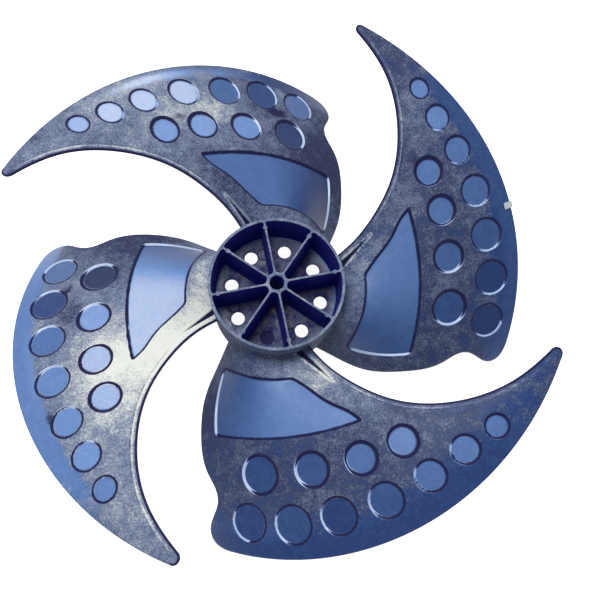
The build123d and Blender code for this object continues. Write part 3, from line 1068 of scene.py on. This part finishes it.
# %% D-shaped drive
DRIVE_RADIUS, DRIVE_FLAT = 5.8, 4.7

turn = np.arange(TURN_STEPS) * 360 / TURN_STEPS
shaft, drive, boss = (polar(size, turn) for size in (SHAFT_RADIUS, DRIVE_RADIUS, BOSS_RADIUS))
drive[:, 1] = np.minimum(drive[:, 1], DRIVE_FLAT)
drive_loops = (
    (shaft, DRIVE_LENGTH), (drive, DRIVE_LENGTH), (drive, 0.0), (boss, 0.0), (boss, HUB_BASE),
)
drive_points = np.vstack([at_height(shape, height) for shape, height in drive_loops])
drive_faces = grid_faces(len(drive_loops), TURN_STEPS, wrap=True)
build("drive_bore", drive_points, drive_faces, plastic, hub_masks(drive_points))

# %% [markdown]
# ## Rib pads, ejector rings and a dark sheet in one hole
# A slim pad runs down each rib where a pin pushed the moulding out of its tool. Sleeves did the same on the
# web and left four thin rings. A thin deep navy sheet near the lower end of one hole is painted shade, which
# makes that hole look dark. A bump could fake the rings, but real geometry holds up close to the camera and
# costs little.

# %% Rib pads
PAD_RADIUS, PAD_CIRCLE, PAD_DROP, PAD_ROUND = 2.0, 52.0, 0.3, 0.3

spun(
    "rib_pads",
    rounded_end(PAD_RADIUS, HUB_HEIGHT - PAD_DROP, 1, PAD_ROUND) + [(PAD_RADIUS, WEB_TOP)],
    steps=32,
    centres=polar(PAD_CIRCLE, RIB_ANGLE + np.arange(RIBS) * 360 / RIBS),
    flip=True,
    capped=True,
)

# %% Ejector rings
MARK_RADIUS, MARK_CIRCLE, MARK_OFFSET, MARKS = 5.5, 40.5, 5.8, 4
RING_WIDTH, RING_HEIGHT = 0.6, 0.3


def dark_masks(points):
    """Deep navy all over."""
    return {"smudge_and_painted_shade": np.ones(len(points))}


spun(
    "ejector_rings",
    [
        (MARK_RADIUS - RING_WIDTH * np.cos(t), WEB_TOP + RING_HEIGHT * np.sin(t))
        for t in np.linspace(0, pi, 7)
    ],
    steps=64,
    centres=polar(MARK_CIRCLE, RIB_ANGLE + MARK_OFFSET + np.arange(MARKS) * 360 / MARKS),
    flip=True,
    masks=dark_masks,
)

# %% A dark sheet in one hole, painted shade
SHEET_THICKNESS, SHEET_LIFT, SHEET_OVERLAP, SHADED_HOLE = 0.6, 0.3, 0.2, 5

# Painted shade: a deep navy sheet near the lower end of this hole makes the hole look dark.
sheet_low = WEB_TOP - WEB + SHEET_LIFT
spun(
    "hole_shade_sheet",
    [(HOLE_RADIUS + SHEET_OVERLAP, sheet_low + SHEET_THICKNESS), (HOLE_RADIUS + SHEET_OVERLAP, sheet_low)],
    steps=48,
    centres=polar(HOLE_CIRCLE, np.array([RIB_ANGLE + (SHADED_HOLE + 0.5) * 360 / RIBS])),
    flip=True,
    capped=True,
    masks=dark_masks,
)

# %% [markdown]
# ## Balance clip
# The clip is a folded strip of spring steel, pressed on to the edge of one blade. It could be modelled
# again, but the CAD mesh already has its form, so it only gets a finish: pale steel with fine streaks, from
# noise that is squeezed along Y, and a few dull spots of dirt.

# %% Spring steel
STREAK_SQUEEZE, METALLIC = 12.0, 0.6
DARK_STREAK, PALE_STREAK, DIRT = tone(205, 222, 236), tone(246, 250, 255), tone(150, 165, 185)

steel, steel_tree, steel_shader, steel_place = new_material("spring_steel")
stretched = add_node(steel_tree, "ShaderNodeMapping", (("Vector", steel_place),))
stretched.inputs["Scale"].default_value = (1.0, STREAK_SQUEEZE, 1.0)
streaks = noise(steel_tree, stretched.outputs["Vector"], 700, 3, 0.6)
dirty = between(steel_tree, noise(steel_tree, steel_place, 900, 3, 0.6), 0.6, 0.75)
colour = blend_colour(steel_tree, streaks, DARK_STREAK, PALE_STREAK)
wire(steel_tree, blend_colour(steel_tree, dirty, colour, DIRT), steel_shader.inputs["Base Color"])
wire(steel_tree, between(steel_tree, streaks, 0.3, 0.7, 0.25, 0.5), steel_shader.inputs["Roughness"])
steel_shader.inputs["Metallic"].default_value = METALLIC

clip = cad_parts["balance_clip"]
clip.data.materials.clear()
clip.data.materials.append(steel)
print("The clip keeps its CAD mesh:", len(clip.data.polygons), "faces")

# %% [markdown]
# ## Camera
# The camera looks down on the fan from a little on the near side. A Track To constraint could aim it, but it
# has a small roll too, so its place and turn are written out. The focal length in pixels becomes millimetres
# of sensor, and the small shift moves the middle of the view without turning the camera.

# %% Place the camera
FOCAL_PIXELS, FRAME_PIXELS = 614.16, 600.0
CENTRE_PIXEL = (299.2, 294.8)
CAMERA_PLACE, TILT, ROLL = (-0.0107, -0.1483, 0.5840), -14.94, 3.35

camera_data = bpy.data.cameras.new("camera")
camera = bpy.data.objects.new("camera", camera_data)
bpy.context.collection.objects.link(camera)
bpy.context.scene.camera = camera
camera_data.sensor_width = 36.0
camera_data.lens = FOCAL_PIXELS / FRAME_PIXELS * camera_data.sensor_width
camera_data.shift_x = 0.5 - CENTRE_PIXEL[0] / FRAME_PIXELS
camera_data.shift_y = CENTRE_PIXEL[1] / FRAME_PIXELS - 0.5
camera_data.clip_start = 0.05
view_turn = Matrix.Rotation(radians(TILT), 4, "X") @ Matrix.Rotation(radians(ROLL), 4, "Y")
camera.matrix_world = Matrix.Translation(CAMERA_PLACE) @ view_turn.transposed()
print(f"Lens: {camera_data.lens:.1f} mm")

# %% [markdown]
# ## Light
# A pale sky and one soft lamp high over the fan. A panorama of a real sky would tint the plastic, and a
# plain one keeps the colours as they are written. A wall of a hollow that leans back towards the lamp
# catches the light, and the wall across from it stays dark; the blades' masks also paint a highlight and
# shade on the walls of hollows. The camera itself sees plain white.

# %% Sky
SKY_NEAR, SKY_FAR = 0.3, 0.55

world = bpy.data.worlds.new("world")
bpy.context.scene.world = world
world.use_nodes = True
sky_tree = world.node_tree
direction = sky_tree.nodes.new("ShaderNodeTexCoord").outputs["Generated"]
northing = add_node(sky_tree, "ShaderNodeSeparateXYZ", (("Vector", direction),)).outputs["Y"]
sky = between(sky_tree, northing, -0.8, 0.8, SKY_NEAR, SKY_FAR)
seen = sky_tree.nodes.new("ShaderNodeLightPath").outputs["Is Camera Ray"]
background = sky_tree.nodes["Background"]
background.inputs["Color"].default_value = (1, 1, 1, 1)
wire(sky_tree, calc(sky_tree, "MAXIMUM", sky, seen), background.inputs["Strength"])
print("Strength of the sky:", SKY_NEAR, "to", SKY_FAR)

# %% Lamp
LAMP_PLACE, LAMP_AIM, LAMP_SIZE, LAMP_POWER = (-0.2, 0.25, 1.25), (0, 0, 0.05), 0.45, 10

lamp_data = bpy.data.lights.new("key", "AREA")
lamp_data.size = LAMP_SIZE
lamp_data.energy = LAMP_POWER
lamp = bpy.data.objects.new("key", lamp_data)
bpy.context.collection.objects.link(lamp)
lamp.rotation_euler = (Vector(LAMP_PLACE) - Vector(LAMP_AIM)).to_track_quat("Z", "Y").to_euler()
lamp.location = LAMP_PLACE
print(f"Lamp {(Vector(LAMP_PLACE) - Vector(LAMP_AIM)).length:.2f} m from the fan")

# %% [markdown]
# ## Floor
# A pale floor lies under the lowest corner of the blades. Lit by the lamp alone it would look grey, and a
# stronger lamp would bleach the fan. So the floor glows a little for the camera and for gloss, and still
# keeps the shadow.

# %% Lay the floor
FLOOR_SIZE, FLOOR_GLOW, FLOOR_TONE, FLOOR_ROUGHNESS = 4.0, 0.92, 0.88, 0.9

half, level = FLOOR_SIZE / 2, cad_low[2]
corners = [(-half, -half, level), (half, -half, level), (half, half, level), (-half, half, level)]
floor_mesh = bpy.data.meshes.new("floor")
floor_mesh.from_pydata(corners, [], [(0, 1, 2, 3)])
floor = bpy.data.objects.new("floor", floor_mesh)
bpy.context.collection.objects.link(floor)

floor_look, floor_tree, floor_shader, _ = new_material("pale_floor")
floor_shader.inputs["Base Color"].default_value = (FLOOR_TONE, FLOOR_TONE, FLOOR_TONE, 1)
floor_shader.inputs["Roughness"].default_value = FLOOR_ROUGHNESS
light_path = floor_tree.nodes.new("ShaderNodeLightPath").outputs
glows = calc(floor_tree, "MAXIMUM", light_path["Is Camera Ray"], light_path["Is Glossy Ray"])
floor_shader.inputs["Emission Color"].default_value = (1, 1, 1, 1)
wire(floor_tree, calc(floor_tree, "MULTIPLY", glows, FLOOR_GLOW), floor_shader.inputs["Emission Strength"])
floor_mesh.materials.append(floor_look)

bpy.context.scene.view_settings.view_transform = "Standard"
print(f"Floor at {level * 1000:.1f} mm")
